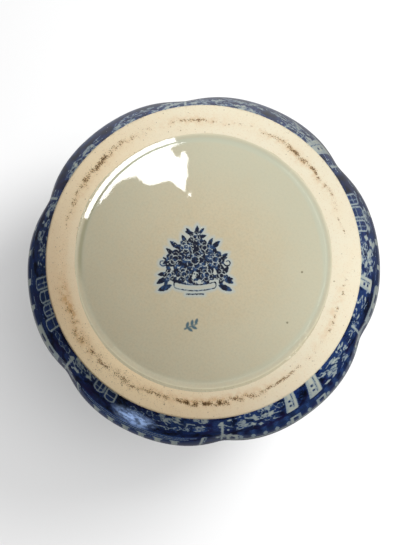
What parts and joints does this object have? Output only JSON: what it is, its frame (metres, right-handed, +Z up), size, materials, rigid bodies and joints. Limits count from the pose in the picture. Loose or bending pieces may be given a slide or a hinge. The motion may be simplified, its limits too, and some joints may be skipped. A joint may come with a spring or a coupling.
{
  "type": "two-handled vase",
  "caption": "Blue printed earthenware vase with a six-lobed round belly, flared scalloped mouth, two loop handles and a broad bare foot ring.",
  "frame": {"origin": "centre of the foot ring's resting plane", "axes": "+Z up along the vase's axis, +X through one handle and -X through the other"},
  "size_m": [0.219, 0.199, 0.275],
  "materials": {
    "bare_clay": "unglazed fired cream clay, matt, with brown wear and dirt on the contact line",
    "base_glaze": "clear grey-green glaze over cream clay, gloss, pooled bluish at the edge",
    "printed_glaze": "cobalt blue print with pale reserved ornament under clear gloss glaze",
    "handle_glaze": "sponged dark cobalt under clear gloss glaze"
  },
  "bodies": {
    "root": {"foot_ring": "bare_clay", "base_panel": "base_glaze", "lower_belly_wall": "printed_glaze", "upper_belly_wall": "printed_glaze", "shoulder_wall": "printed_glaze", "lower_neck_wall": "printed_glaze", "upper_neck_wall": "printed_glaze", "rim_lip": "printed_glaze", "handle_right": "handle_glaze", "handle_right_upper_root": "handle_glaze", "handle_right_lower_root": "handle_glaze", "handle_left": "handle_glaze", "handle_left_upper_root": "handle_glaze", "handle_left_lower_root": "handle_glaze"}
  },
  "joints": []
}
